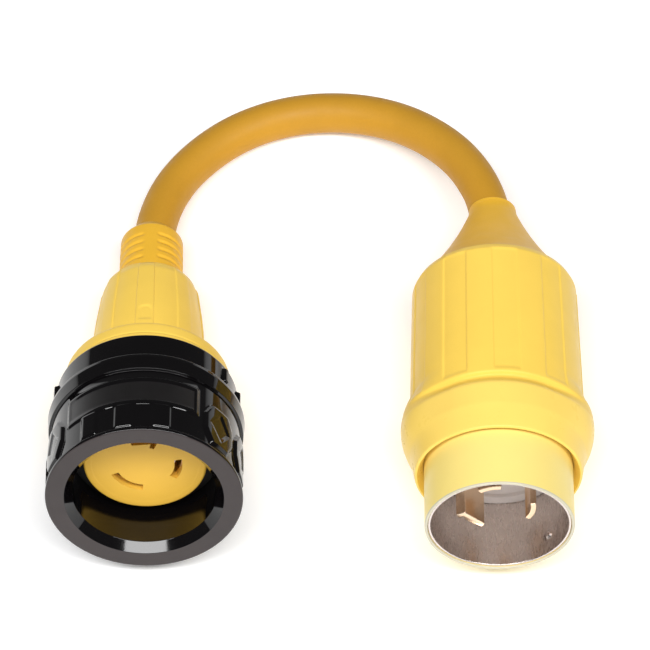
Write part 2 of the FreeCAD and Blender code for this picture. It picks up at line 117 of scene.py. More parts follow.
def add_world():
    world = bpy.data.worlds.new("studio")
    world.use_nodes = True
    background = world.node_tree.nodes["Background"]
    background.inputs["Color"].default_value = (1, 1, 1, 1)
    background.inputs["Strength"].default_value = SKY_RADIANCE
    bpy.context.scene.world = world


def add_floor():
    """White paper that glows a little, as if lit from below."""
    mesh = bpy.data.meshes.new("floor")
    corners = [(x * FLOOR_HALF, y * FLOOR_HALF, 0) for x, y in ((-1, -1), (1, -1), (1, 1), (-1, 1))]
    mesh.from_pydata(corners, [], [(0, 1, 2, 3)])
    floor = bpy.data.objects.new("floor", mesh)
    bpy.context.scene.collection.objects.link(floor)
    paper = bpy.data.materials.new("floor_paper")
    paper.use_nodes = True
    shader = paper.node_tree.nodes["Principled BSDF"]
    shader.inputs["Base Color"].default_value = (FLOOR_WHITE, FLOOR_WHITE, FLOOR_WHITE, 1)
    shader.inputs["Roughness"].default_value = 0.9
    shader.inputs["Emission Color"].default_value = (1, 1, 1, 1)
    shader.inputs["Emission Strength"].default_value = FLOOR_GLOW
    mesh.materials.append(paper)


# ---- shapes ------------------------------------------------------------------------------------

ROUND_STEPS = 4
LEAD_IN = 1.25  # a rounded corner has one more point this far out, so that its flats stay flat
ROUND_SHARE, LEAD_SHARE = 0.46, 0.48  # of a side, the most that a rounding and its lead-in reach
ROW_GAP = 0.06  # mm, the least between an added row and the profile's own points
WELD = 0.2e-5  # metres
CREASE = 38  # degrees, the least angle that shades as a sharp edge
BEVEL_ANGLE = 35  # degrees, the least angle that is bevelled
ARC_STEP = 1.5  # degrees
CIRCLE_POINTS = 24


def smooth(t):
    t = min(1.0, max(0.0, t))
    return t * t * (3 - 2 * t)


def between(x, low, high, soft):
    """1 from low to high and 0 outside, with edges that are soft wide."""
    return smooth((x - low) / soft + 0.5) * smooth((high - x) / soft + 0.5)


def off(angle, middle):
    """How far the angle is past the middle, from -180 to 180."""
    return (angle - middle + 180) % 360 - 180


def rounded(corners, closed=True):
    """A profile through corners (r, s, size), each rounded by about its size, where it has one."""
    points = []
    last = len(corners) - 1
    for i, corner in enumerate(corners):
        here, size = Vector(corner[:2]), corner[2] if len(corner) > 2 else 0
        if not size or (not closed and i in (0, last)):
            points.append(here)
            continue
        back = Vector(corners[i - 1][:2]) - here
        on = Vector(corners[(i + 1) % len(corners)][:2]) - here
        run = size / math.tan(back.angle(on) / 2)
        a = here + back.normalized() * min(run, back.length * ROUND_SHARE)
        b = here + on.normalized() * min(run, on.length * ROUND_SHARE)
        if (a - here).length * LEAD_IN < back.length * LEAD_SHARE:
            points.append(here + (a - here) * LEAD_IN)
        for k in range(ROUND_STEPS + 1):
            t = k / ROUND_STEPS
            points.append(a * (1 - t) ** 2 + here * 2 * t * (1 - t) + b * t * t)
        if (b - here).length * LEAD_IN < on.length * LEAD_SHARE:
            points.append(here + (b - here) * LEAD_IN)
    return points


def arc(start, middle, end, count):
    """Points on the circle through three (r, s) places, without its ends."""
    (ax, ay), (bx, by), (cx, cy) = start, middle, end
    d = 2 * (ax * (by - cy) + bx * (cy - ay) + cx * (ay - by))
    a2, b2, c2 = ax * ax + ay * ay, bx * bx + by * by, cx * cx + cy * cy
    x = (a2 * (by - cy) + b2 * (cy - ay) + c2 * (ay - by)) / d
    y = (a2 * (cx - bx) + b2 * (ax - cx) + c2 * (bx - ax)) / d
    radius = math.hypot(ax - x, ay - y)
    first = math.atan2(ay - y, ax - x)
    sweep = (math.atan2(cy - y, cx - x) - first + math.pi) % (2 * math.pi) - math.pi
    turns = [first + sweep * k / count for k in range(1, count)]
    return [(x + radius * math.cos(t), y + radius * math.sin(t)) for t in turns]


def refined(points, lines, least_r):
    """The closed profile with more points on its outer runs, where they cross these depths."""
    result = []
    for here, there in zip(points, points[1:] + points[:1]):
        result.append(here)
        if min(here.x, there.x) < least_r:
            continue
        low, high = sorted((here.y, there.y))
        inner = [s for s in lines if low + ROW_GAP < s < high - ROW_GAP]
        for s in sorted(inner, reverse=here.y > there.y):
            result.append(here.lerp(there, (s - here.y) / (there.y - here.y)))
    return result


def spread(low, high, step):
    count = max(1, round((high - low) / step))
    return [low + (high - low) * k / count for k in range(count + 1)]


def edge_lines(edges, soft):
    """Places across each soft edge, close enough together to round it."""
    return [e + soft * k for e in edges for k in (-0.55, -0.3, -0.1, 0.1, 0.3, 0.55)]


def angle_lines(step, special=(), gap=0.12):
    """Angles all round, every step degrees and at the special ones, none nearer than gap."""
    fixed = sorted(a % 360 for a in special)
    whole = spread(0, 360 - step, step)
    plain = [a for a in whole if all(abs(off(a, f)) > step * 0.4 for f in fixed)]
    result = []
    for a in sorted(plain + fixed):
        if not result or a - result[-1] > gap:
            result.append(a)
    return result


def as_object(name, place, points, faces):
    mesh = bpy.data.meshes.new(name)
    mesh.from_pydata([place @ Vector(p) for p in points], [], faces)
    obj = bpy.data.objects.new(name, mesh)
    bpy.context.scene.collection.objects.link(obj)
    return cleaned(obj)


def cleaned(obj):
    """Welds the mesh, turns its faces outwards and shades it smooth between sharp edges."""
    work = bmesh.new()
    work.from_mesh(obj.data)
    bmesh.ops.remove_doubles(work, verts=work.verts, dist=WELD)
    bmesh.ops.recalc_face_normals(work, faces=work.faces)
    work.to_mesh(obj.data)
    work.free()
    obj.data.shade_smooth()
    obj.data.set_sharp_from_angle(angle=math.radians(CREASE))
    return obj


def turned(name, place, profile, angles, relief=None, closed=True):
    """A profile of (r, s) points revolved about the axis. Relief moves a point outwards."""
    points, faces = [], []
    rows = len(profile)
    for angle in angles:
        x, y = polar(1.0, angle)
        for r, s in profile:
            if relief:
                r += relief(angle, r, s)
            points.append((r * x, r * y, -s))
    for i in range(len(angles)):
        a, b = i * rows, (i + 1) % len(angles) * rows
        for k in range(rows if closed else rows - 1):
            n = (k + 1) % rows
            faces.append((a + k, a + n, b + n, b + k))
    return as_object(name, place, points, faces)


def as_vectors(places):
    return [Vector(place) for place in places]


def polar(r, angle):
    return (r * math.cos(math.radians(angle)), r * math.sin(math.radians(angle)))


def arc_outline(r0, r1, a0, a1):
    """The outline of a curved bar's section."""
    angles = spread(a0, a1, ARC_STEP)
    return [polar(r1, a) for a in angles] + [polar(r0, a) for a in reversed(angles)]


def circle_outline(x, y, r):
    turns = [2 * math.pi * k / CIRCLE_POINTS for k in range(CIRCLE_POINTS)]
    return [(x + r * math.cos(t), y + r * math.sin(t)) for t in turns]


def prism(name, place, outline, s0, s1):
    """An outline of (x, y) points between two depths."""
    n = len(outline)
    points = [(x, y, -s0) for x, y in outline] + [(x, y, -s1) for x, y in outline]
    faces = [tuple(range(n)), tuple(range(2 * n - 1, n - 1, -1))]
    faces += [(i, (i + 1) % n, (i + 1) % n + n, i + n) for i in range(n)]
    return as_object(name, place, points, faces)


def apply_modifiers(obj):
    """Replaces the object's mesh by what its modifiers make of it."""
    bpy.context.view_layer.update()
    evaluated = obj.evaluated_get(bpy.context.evaluated_depsgraph_get())
    mesh = bpy.data.meshes.new_from_object(evaluated)
    obj.modifiers.clear()
    obj.data = mesh
    return cleaned(obj)


def bevelled(obj, width, segments):
    bevel = obj.modifiers.new("bevel", "BEVEL")
    bevel.width = width * MM
    bevel.segments = segments
    bevel.limit_method = "ANGLE"
    bevel.angle_limit = math.radians(BEVEL_ANGLE)
    return apply_modifiers(obj)


def cut(obj, tools):
    """Cuts the tool meshes out of the object and deletes them."""
    for tool in tools:
        change = obj.modifiers.new("change", "BOOLEAN")
        change.operation = "DIFFERENCE"
        change.solver = "EXACT"
        change.object = tool
        apply_modifiers(obj)
        bpy.data.objects.remove(tool)
    return obj


# ---- sealing ring -------------------------------------------------------------------------------

BAND_R = 36.2
RING_OUTSIDE_R = 34.3  # every surface further out than this is the ring's outside
BAND_SOFT = 0.9  # mm across which the mesh has closer rows, at the ends of pads and panels
GRIP_SIDES = (8.5, 188.5)
GRIP_MIDDLES = [side + k * 30 for side in GRIP_SIDES for k in (-1, 0, 1)]
GRIP_HALF = 7.9  # mm across the grip
GRIP_FRONT, GRIP_REAR = 4.3, 23.6
GRIP_RISE = 1.3
GRIP_END_SHARE = 0.55  # of its full width, how wide a grip is at its two ends
GRIP_TAPER = 6.0
LOZENGE_HALF = GRIP_HALF * 0.7
LOZENGE_MARGIN = 2.2  # mm from a lozenge's points to the grip's ends
LOZENGE_SLOPE = 2.6
LOZENGE_DEPTH = 0.6
PANEL_MIDDLES = [side + 90 for side in GRIP_SIDES]
PANEL_HALF = 43.0
PANEL_FRONT, PANEL_REAR = 14.4, 28.4
PANEL_RISE = 0.6
FIELD_HALF = 40.4
FIELD_FRONT, FIELD_REAR = PANEL_FRONT + 2.0, PANEL_REAR - 1.8
FIELD_SINK = 0.2
PAD_MIDDLES = [a for a in (90 + 11.25 + 22.5 * i for i in range(16))
               if min(abs(off(a, p)) for p in PANEL_MIDDLES) < PANEL_HALF - 4]
PAD_HALF = 5.4
PAD_FRONT = 3.2
PAD_RISE = 0.7
RIB_MIDDLES = [side + k * 22.5 for side in GRIP_SIDES for k in (-1, 0, 1)]
RIB_HALF = 2.0
RIB_FRONT, RIB_REAR = 43.5, 50.4
RIB_RISE = 1.6
RIB_SOFT = 0.8
RING_STEP = 0.8  # degrees between the mesh lines, the same all round so the gloss stays even


def grip_relief(x, s):
    """A six-sided grip with a lozenge of four sloping faces sunk into it."""
    middle, reach = (GRIP_FRONT + GRIP_REAR) / 2, (GRIP_REAR - GRIP_FRONT) / 2
    along = abs(s - middle)
    fullness = min(1.0, max(0.0, (reach - along) / GRIP_TAPER))
    limit = GRIP_HALF * (GRIP_END_SHARE + (1 - GRIP_END_SHARE) * fullness)
    rise = GRIP_RISE * smooth((limit - abs(x)) / 1.0 + 0.5) * smooth((reach - along) / 0.9 + 0.5)
    inside = 1 - abs(x) / LOZENGE_HALF - along / (reach - LOZENGE_MARGIN)
    return rise - min(LOZENGE_DEPTH, max(0.0, LOZENGE_SLOPE * inside))


def panel_relief(away, s):
    """A raised frame round a sunken field."""
    whole = between(away, -PANEL_HALF, PANEL_HALF, 2.4) * between(s, PANEL_FRONT, PANEL_REAR, 1.2)
    field = between(away, -FIELD_HALF, FIELD_HALF, 2.4) * between(s, FIELD_FRONT, FIELD_REAR, 1.2)
    return PANEL_RISE * whole - FIELD_SINK * field


def rib_relief(angle, s):
    rib = max(between(off(angle, m), -RIB_HALF, RIB_HALF, 1.6) for m in RIB_MIDDLES)
    return RIB_RISE * rib * between(s, RIB_FRONT, RIB_REAR, RIB_SOFT)


def band_relief(angle, s):
    """The panels, pads and grips on the front band."""
    rise = 0.0
    for middle in PANEL_MIDDLES:
        away = off(angle, middle)
        if abs(away) < PANEL_HALF + 2:
            rise += panel_relief(away, s)
    for middle in PAD_MIDDLES:
        away = off(angle, middle)
        if abs(away) < PAD_HALF + 2:
            across = between(away, -PAD_HALF, PAD_HALF, 2.4)
            rise += PAD_RISE * across * between(s, PAD_FRONT, PANEL_FRONT, 1.0)
    for middle in GRIP_MIDDLES:
        away = off(angle, middle)
        if abs(away) < 16:
            rise += grip_relief(math.radians(away) * BAND_R, s)
    return rise


def ring_relief(angle, r, s):
    if r < RING_OUTSIDE_R:
        return 0.0
    if 2.0 < s <= 30.0:
        return band_relief(angle, s)
    if 42.0 < s < 52.5:
        return rib_relief(angle, s)
    return 0.0


def ring_profile():
    corners = rounded([
        (30.3, 0, 0.12),
        (37.5, 0, 0.7),
        (37.5, 1.5, 0.3),
        (BAND_R, 1.9, 0.2),
        (BAND_R, 32.4, 0.2),
        (37.2, 32.7, 0.25),
        (37.75, 38.4, 2.0),
        (37.5, 40.0, 0.5),
        (36.4, 40.3, 0.4),
        (34.8, 40.5, 0.3),
        (34.8, 53.0, 0.7),
        (32.4, 53.0, 0.3),
        (32.4, 33.0, 0.1),
        (33.7, 33.0, 0.1),
        (33.7, 24.0, 0.1),
        (28.4, 24.0, 0.2),
        (28.4, 17.4, 0.1),
        (27.4, 17.4, 0.2),
        (27.4, 3.4, 0.3),
    ])
    lines = edge_lines([PAD_FRONT, PANEL_FRONT, PANEL_REAR], BAND_SOFT)
    lines += edge_lines([RIB_FRONT, RIB_REAR], RIB_SOFT) + spread(4.0, 27.4, 0.65)
    return refined(corners, sorted(lines), RING_OUTSIDE_R)


def build_ring():
    angles = spread(0, 360 - RING_STEP, RING_STEP)
    return turned("locking_ring", CONNECTOR, ring_profile(), angles, ring_relief)


# ---- connector -----------------------------------------------------------------------------------

BOOT_RIBS = [93 + 45 * i for i in range(8)]
BOOT_RIB_HALF = 9.3
BOOT_RIBS_FROM, BOOT_RIBS_TO = 68.5, 109.5
BOOT_OUTSIDE_R = 13.8
FLUTE_DEPTH = 0.4
FLUTE_SOFT = 1.6  # degrees over which a rib's side turns over
MARK_ANGLE = 92
MARK_FRONT, MARK_MIDDLE = 75.0, 80.0
MARK_R = 2.6
MARK_DEPTH = 0.35
MARK_SURFACE_R = 21.8
SLOT_BEVEL = 0.22


def flute_relief(angle, s, ribs, half, s0, s1, soft):
    """How far the surface lies in, between the ribs. The flutes' ends run out over soft mm."""
    rib = max(between(off(angle, m), -half, half, FLUTE_SOFT) for m in ribs)
    return -FLUTE_DEPTH * (1 - rib) * between(s, s0, s1, soft)


def mark_relief(angle, s):
    """The finger mark: a shallow arch, straight at the front and round at the back."""
    x = math.radians(off(angle, MARK_ANGLE)) * MARK_SURFACE_R
    if abs(x) >= 5 or not 73 < s < 85:
        return 0.0
    radius = math.hypot(x, max(0.0, s - MARK_MIDDLE))
    return -MARK_DEPTH * smooth((MARK_R - radius) / 1.4 + 0.5) * smooth((s - MARK_FRONT) / 1.6 + 0.5)


def boot_relief(angle, r, s):
    if r < BOOT_OUTSIDE_R or not 65 < s < 113:
        return 0.0
    flutes = flute_relief(angle, s, BOOT_RIBS, BOOT_RIB_HALF, BOOT_RIBS_FROM, BOOT_RIBS_TO, 1.2)
    return flutes + mark_relief(angle, s)


def boot_profile():
    outer = rounded([
        (23.6, 27.0),
        (33.2, 27.0, 0.4),
        (33.2, 29.4, 0.4),
        (32.0, 30.4, 0.4),
        (32.0, 56.6, 0.5),
        (31.75, 57.3, 0.3),
        (31.95, 58.0, 0.4),
        (31.9, 63.0, 2.6),
        (26.0, 65.0, 2.0),
        (22.5, 66.8, 2.6),
        (22.1, 72.0),
    ], closed=False)
    outer += as_vectors(arc((22.1, 72.0), (21.2, 89.0), (19.4, 104.5), 22))
    outer += as_vectors(arc((19.4, 104.5), (18.1, 109.6), (15.0, 112.8), 14))
    outer += rounded([(15.0, 112.8), (14.5, 113.2, 0.3), (12.0, 113.2)], closed=False)
    inner = [(9.6, 113.2), (9.6, 102.0), (13.5, 102.0), (19.2, 92.0), (19.2, 60.8), (23.6, 60.8)]
    lines = spread(66.5, 91.5, 0.8) + edge_lines([MARK_FRONT], 0.7) + spread(78.5, 84.0, 0.3)
    return refined(outer + as_vectors(inner), sorted(lines), 21.0)


def build_connector_boot():
    special = []
    for middle in BOOT_RIBS:
        special += edge_lines([middle - BOOT_RIB_HALF, middle + BOOT_RIB_HALF], FLUTE_SOFT)
    special += spread(MARK_ANGLE - 12, MARK_ANGLE + 12, 0.8)
    angles = angle_lines(2.5, special, 0.15)
    return turned("connector_body", CONNECTOR, boot_profile(), angles, boot_relief)


SLEEVE_OUTSIDE_R = 11.0
GROOVE_HALF = 76  # degrees
GROOVE_FIRST, GROOVE_PITCH, GROOVE_WIDTH = 119.0, 4.2, 1.3
GROOVE_DEPTH = 0.55
GROOVES = [GROOVE_FIRST + GROOVE_PITCH * i for i in range(4)]


def sleeve_relief(angle, r, s):
    """Short grooves round each side of the strain relief."""
    if r < SLEEVE_OUTSIDE_R or s > 137:
        return 0.0
    side = max(between(off(angle, m), -GROOVE_HALF, GROOVE_HALF, 10) for m in (0, 180))
    groove = max(between(s, front, front + GROOVE_WIDTH, 1.4) for front in GROOVES)
    return -GROOVE_DEPTH * side * groove


def build_sleeve():
    corners = rounded([
        (CORD_BORE_R, 124.8),
        (5.2, 124.8, 0.2),
        (5.2, 102.3, 0.2),
        (9.55, 102.3, 0.2),
        (9.55, 113.25),
        (12.7, 113.25, 0.7),
        (12.3, 138.0, 1.5),
        (9.0, 142.5, 0.7),
        (8.6, 143.0, 0.25),
        (CORD_BORE_R, 143.0, 0.2),
    ])
    profile = refined(corners, spread(115.0, 136.0, 0.32), SLEEVE_OUTSIDE_R)
    special = []
    for end in (m + side for m in (0, 180) for side in (-GROOVE_HALF, GROOVE_HALF)):
        special += spread(end - 5, end + 5, 1.6)
    return turned("cord_sleeve", CONNECTOR, profile, angle_lines(3.6, special, 0.4), sleeve_relief)


CONTACT_R = 12.7
CONTACT_ARCS = {"ground": (67.0, 115.0), "neutral": (204.0, 265.0), "hot": (-34.0, 11.0)}
SLOT_HALF = 1.5
POCKET_HALF = 3.55
POCKET_REACH = 6.05  # degrees that a contact's pocket runs past its slot
SLOT_SPAN = (15.0, 22.5)
POCKET_SPAN = (21.5, 62.0)
GROUND_TAB_ARC = 11.0
GROUND_TAB_R = CONTACT_R - 3.7


def slot_outline(name):
    """A contact slot's outline. The ground slot has a tab turned towards the middle."""
    a0, a1 = CONTACT_ARCS[name]
    low, high = CONTACT_R - SLOT_HALF, CONTACT_R + SLOT_HALF
    if name != "ground":
        return arc_outline(low, high, a0, a1)
    inner = [polar(low, a) for a in spread(a1, a0 + GROUND_TAB_ARC, ARC_STEP)]
    tab = [polar(GROUND_TAB_R, a) for a in spread(a0 + GROUND_TAB_ARC, a0, 2.5)]
    outer = [polar(high, a) for a in spread(a0, a1, ARC_STEP)]
    return outer + inner + tab


def build_face():
    """The insulating face, dished a little, with a slot into each contact's pocket."""
    profile = rounded([
        (0, 18.0),
        (20.2, 17.95, 0.5),
        (20.8, 17.9, 0.3),
        (23.5, 17.9, 0.9),
        (23.5, 60.5, 0.5),
        (0, 60.5),
    ], closed=False)
    face = turned("contact_face", CONNECTOR, profile, angle_lines(2.5), closed=False)
    tools = []
    for name, (a0, a1) in CONTACT_ARCS.items():
        tools.append(prism("tool", CONNECTOR, slot_outline(name), *SLOT_SPAN))
        pocket = arc_outline(CONTACT_R - POCKET_HALF, CONTACT_R + POCKET_HALF, a0 - POCKET_REACH,
                             a1 + POCKET_REACH)
        tools.append(prism("tool", CONNECTOR, pocket, *POCKET_SPAN))
    return bevelled(cut(face, tools), SLOT_BEVEL, 2)


# ---- plug ----------------------------------------------------------------------------------------

PLUG_RIBS = [102.5 + 36 * i for i in range(10)]
PLUG_RIB_HALF = 9.2
PLUG_RIBS_FROM, PLUG_RIBS_TO = 50.6, 109.0
PLUG_OUTSIDE_R = 31.9
# (depth, the boot's radius there): the lip, the flange's crest, the groove behind it and the ribs.
WAIST = [(26.6, 32.45), (34.0, 33.7), (42.8, 34.15), (47.4, 32.1), (49.1, 33.45), (59.5, 33.3)]
BULGE_MIDDLE = 270.0  # the bulge goes round the sides and the underside
BULGE_HALF = 123.0
BULGE_FROM, BULGE_TO = 30.8, 57.8
BULGE_ROOT_R, BULGE_R = 32.2, 37.0
BULGE_RUN_OUT = 46.0  # degrees over which each end of the bulge dies away
BULGE_BLEND = 0.25  # mm2, how softly the bulge runs into the flange


def plug_base(s):
    """The boot's radius here, without its bulge and its flutes."""
    for (s0, r0), (s1, r1) in zip(WAIST, WAIST[1:]):
        if s <= s1:
            t = (s - s0) / (s1 - s0)
            return r0 + (r1 - r0) * (smooth(t) if s0 > 40 else t)
    return WAIST[-1][1]


def plug_relief(angle, r, s):
    if r < PLUG_OUTSIDE_R or not 26.6 < s < 112:
        return 0.0
    flutes = flute_relief(angle, s, PLUG_RIBS, PLUG_RIB_HALF, PLUG_RIBS_FROM, PLUG_RIBS_TO, 2.0)
    if s > WAIST[-1][0]:
        return flutes
    base = plug_base(s)
    reach = (s - (BULGE_FROM + BULGE_TO) / 2) / ((BULGE_TO - BULGE_FROM) / 2)
    if abs(reach) >= 1:
        return base + flutes - r
    gap = BULGE_ROOT_R + (BULGE_R - BULGE_ROOT_R) * (1 - reach * reach) - base
    there = smooth((BULGE_HALF - abs(off(angle, BULGE_MIDDLE))) / BULGE_RUN_OUT + 0.5)
    return base + flutes + there * 0.5 * (gap + math.sqrt(gap * gap + BULGE_BLEND)) - r


def plug_profile():
    lip = rounded([
        (28.42, 28.4),
        (28.6, 27.7, 0.3),
        (31.1, 23.4, 0.35),
        (32.0, 24.0, 1.2),
        (32.45, 26.6),
    ], closed=False)
    waist = [Vector((plug_base(s), s)) for s in spread(26.8, 59.4, 0.45)]
    rear = rounded([
        (33.3, 59.9),
        (32.1, 109.0, 2.6),
        (30.9, 111.5, 0.9),
        (29.8, 112.3, 0.6),
        (28.2, 113.8),
    ], closed=False)
    cone = as_vectors(arc((28.2, 113.8), (17.4, 131.0), (9.6, 148.4), 24))
    end = rounded([(9.6, 148.4), (9.35, 150.4, 0.3), (8.8, 150.4)], closed=False)
    inner = [(8.8, 101.0), (17.0, 101.0), (26.6, 92.0), (26.6, 50.3), (27.6, 50.3), (27.6, 46.2),
             (28.42, 46.2)]
    profile = lip + waist + rear + cone + end + as_vectors(inner)
    return refined(profile, spread(61.0, 108.0, 1.5), PLUG_OUTSIDE_R)


def build_plug_boot():
    special = []
    for middle in PLUG_RIBS:
        special += edge_lines([middle - PLUG_RIB_HALF, middle + PLUG_RIB_HALF], FLUTE_SOFT)
    for side in (-1, 1):
        edge = BULGE_MIDDLE + side * BULGE_HALF
        special += spread(edge - BULGE_RUN_OUT / 2 - 1, edge + BULGE_RUN_OUT / 2 + 1, 1.2)
    return turned("plug_body", PLUG, plug_profile(), angle_lines(2.0, special, 0.15), plug_relief)


NOSE_INNER_R, NOSE_OUTER_R = 27.25, 28.4
NOSE_END = 46.0
SHELL_INNER_R, SHELL_OUTER_R = 26.2, 27.2
SHELL_FRONT, SHELL_END = 0.7, 50.0
SHELL_MIDDLE_R = (SHELL_INNER_R + SHELL_OUTER_R) / 2
DIMPLE_ANGLE = 318
DIMPLE_S = 8.8
DIMPLE_HALF_WIDE, DIMPLE_HALF_LONG = 3.2, 2.6
DIMPLE_SINK = 1.1


def build_nose():
    profile = rounded([
        (NOSE_INNER_R, 0.0, 0.5),
        (NOSE_OUTER_R, 0.0, 0.6),
        (NOSE_OUTER_R, NOSE_END, 0.1),
        (NOSE_INNER_R, NOSE_END, 0.1),
    ])
    return turned("plug_sleeve", PLUG, profile, angle_lines(1.5))


def shell_relief(angle, r, s):
    """The locking dimple, pressed in from outside."""
    x = math.radians(off(angle, DIMPLE_ANGLE)) * SHELL_MIDDLE_R
    reach = math.hypot(x / DIMPLE_HALF_WIDE, (s - DIMPLE_S) / DIMPLE_HALF_LONG)
    return -DIMPLE_SINK * smooth(1.25 * (1 - reach)) if reach < 1 else 0.0


def build_shell():
    corners = rounded([
        (SHELL_INNER_R, SHELL_FRONT, 0.35),
        (SHELL_OUTER_R, SHELL_FRONT, 0.35),
        (SHELL_OUTER_R, SHELL_END),
        (SHELL_INNER_R, SHELL_END),
    ])
    profile = refined(corners, spread(DIMPLE_S - 3, DIMPLE_S + 3, 0.4), 26.0)
    special = spread(DIMPLE_ANGLE - 7, DIMPLE_ANGLE + 7, 0.6)
    return turned("steel_shell", PLUG, profile, angle_lines(2.0, special, 0.3), shell_relief)


# Each blade's radius and its two angles, then how far its tip stands behind the mouth.
BLADES = {"x": (13.0, -33.0, 12.0), "y": (13.0, 88.0, 127.0), "neutral": (15.0, 212.0, 248.0)}
BLADE_TIPS = {"x": 8.6, "y": 8.6, "neutral": 10.4}
BLADE_HALF = 1.1
BLADE_BEVEL = 0.45
BLADE_PLAY = 0.05
BLADE_END = 40.0
BLADE_TAB_ARC, BLADE_TAB_RISE = 9.0, 2.7
SCREW_HOLE_R = 2.1
SCREW_HOLE_SPAN = (39.5, 53.0)
STRAP_ANGLE, STRAP_HALF = 300.0, 3.8
STRAP_SPAN = (43.8, 54.0)


def blade_outline(name, play=0.0):
    """A curved blade's section. The neutral blade has a tab bent outwards at one end."""
    r, a0, a1 = BLADES[name]
    low, high = r - BLADE_HALF - play, r + BLADE_HALF + play
    turn = math.degrees(play / r)
    a0, a1 = a0 - turn, a1 + turn
    if name != "neutral":
        return arc_outline(low, high, a0, a1)
    tab = r + BLADE_TAB_RISE + play
    outer = [polar(high, a) for a in spread(a0 + turn * 2, a1, ARC_STEP)]
    inner = [polar(low, a) for a in spread(a1, a0 - BLADE_TAB_ARC, ARC_STEP)]
    return outer + inner + [polar(tab, a) for a in spread(a0 - BLADE_TAB_ARC, a0 + turn * 2, 2.0)]


def build_blades():
    blades = []
    for name in BLADES:
        bar = prism("brass_blade_" + name, PLUG, blade_outline(name), BLADE_TIPS[name], BLADE_END)
        blades.append(bevelled(bar, BLADE_BEVEL, 3))
    return blades


def build_carrier():
    """The insulator that holds the blades, with a moulded rim round its front."""
    profile = rounded([
        (0, 30.2),
        (21.0, 30.2, 0.4),
        (21.8, 29.0, 0.4),
        (26.1, 29.0, 0.6),
        (26.1, 52.0, 0.3),
        (0, 52.0),
    ], closed=False)
    carrier = turned("insulator", PLUG, profile, angle_lines(2.5), closed=False)
    tools = [prism("tool", PLUG, blade_outline(name, BLADE_PLAY), 28.0, BLADE_END) for name in BLADES]
    for r, a0, a1 in BLADES.values():
        x, y = polar(r, (a0 + a1) / 2)
        tools.append(prism("tool", PLUG, circle_outline(x, y, SCREW_HOLE_R), *SCREW_HOLE_SPAN))
    strap_notch = arc_outline(24.2, 28.0, STRAP_ANGLE - STRAP_HALF, STRAP_ANGLE + STRAP_HALF)
    tools.append(prism("tool", PLUG, strap_notch, *STRAP_SPAN))
    return cut(carrier, tools)


def build_collar():
    profile = rounded([
        (CORD_BORE_R, 132.8),
        (8.75, 132.8, 0.2),
        (8.75, 150.45),
        (9.25, 150.45),
        (9.2, 151.9, 0.6),
        (CORD_BORE_R, 152.2, 0.3),
    ])
    return turned("neck_ring", PLUG, profile, angle_lines(4.0))


# ---- cord ----------------------------------------------------------------------------------------

CORD_POINTS = [
    (-0.0668, 0.05628, 0.01879),
    (-0.0668, 0.07485, 0.01477),
    (-0.0608, 0.0988, 0.0104),
    (-0.0488, 0.1166, 0.0085),
    (-0.0318, 0.1304, 0.0081),
    (-0.0113, 0.1380, 0.0082),
    (0.0104, 0.1380, 0.0102),
    (0.0302, 0.1304, 0.0149),
    (0.0468, 0.1166, 0.0208),
    (0.0594, 0.0994, 0.0258),
    (0.0676, 0.07633, 0.02958),
    (0.0676, 0.05738, 0.03091),
]


def build_cord():
    curve = bpy.data.curves.new("cord", "CURVE")
    curve.dimensions = "3D"
    curve.resolution_u = 20
    curve.bevel_depth = CORD_D / 2
    curve.bevel_resolution = 14
    curve.use_fill_caps = True
    spline = curve.splines.new("NURBS")
    spline.points.add(len(CORD_POINTS) - 1)
    for point, place in zip(spline.points, CORD_POINTS):
        point.co = (*place, 1)
    spline.order_u = 3
    spline.use_endpoint_u = True
    cord = bpy.data.objects.new("cord", curve)
    bpy.context.scene.collection.objects.link(cord)
    return cord


# ---- materials -----------------------------------------------------------------------------------

# Metres between the light and dark patches of a finish, and between its rubbed places.
MOTTLE_SIZE = 0.018
RUB_SIZE = 0.006
SPECK_SHARE = 0.25 / 0.06  # how much of a finish's mottle shows as dark specks


def add(tree, kind, **values):
    """A node with these inputs, by name, or by number as i0, i1 and so on."""
    node = tree.nodes.new(kind)
    for name, value in values.items():
        key = int(name[1:]) if name[0] == "i" and name[1:].isdigit() else name.replace("_", " ")
        if hasattr(value, "is_output"):
            tree.links.new(value, node.inputs[key])
        else:
            node.inputs[key].default_value = value
    return node


def blended(tree, factor, a, b):
    """A mix of two colours, each a socket or an (r, g, b)."""
    node = tree.nodes.new("ShaderNodeMix")
    node.data_type = "RGBA"
    for key, value in ((0, factor), (6, a), (7, b)):
        if hasattr(value, "is_output"):
            tree.links.new(value, node.inputs[key])
        else:
            node.inputs[key].default_value = value if key == 0 else (*value, 1)
    return node.outputs[2]


def remapped(tree, value, low, high, to_low, to_high):
    node = add(tree, "ShaderNodeMapRange", i0=value, i1=low, i2=high, i3=to_low, i4=to_high)
    return node.outputs[0]


def noise(tree, place, size, detail, roughness=0.55):
    """Noise whose features are about size metres across."""
    node = add(tree, "ShaderNodeTexNoise", Vector=place, Scale=1 / size, Detail=detail, Roughness=roughness)
    return node.outputs[0]


def shaded(colour, factor):
    return tuple(min(1.0, c * factor) for c in colour)


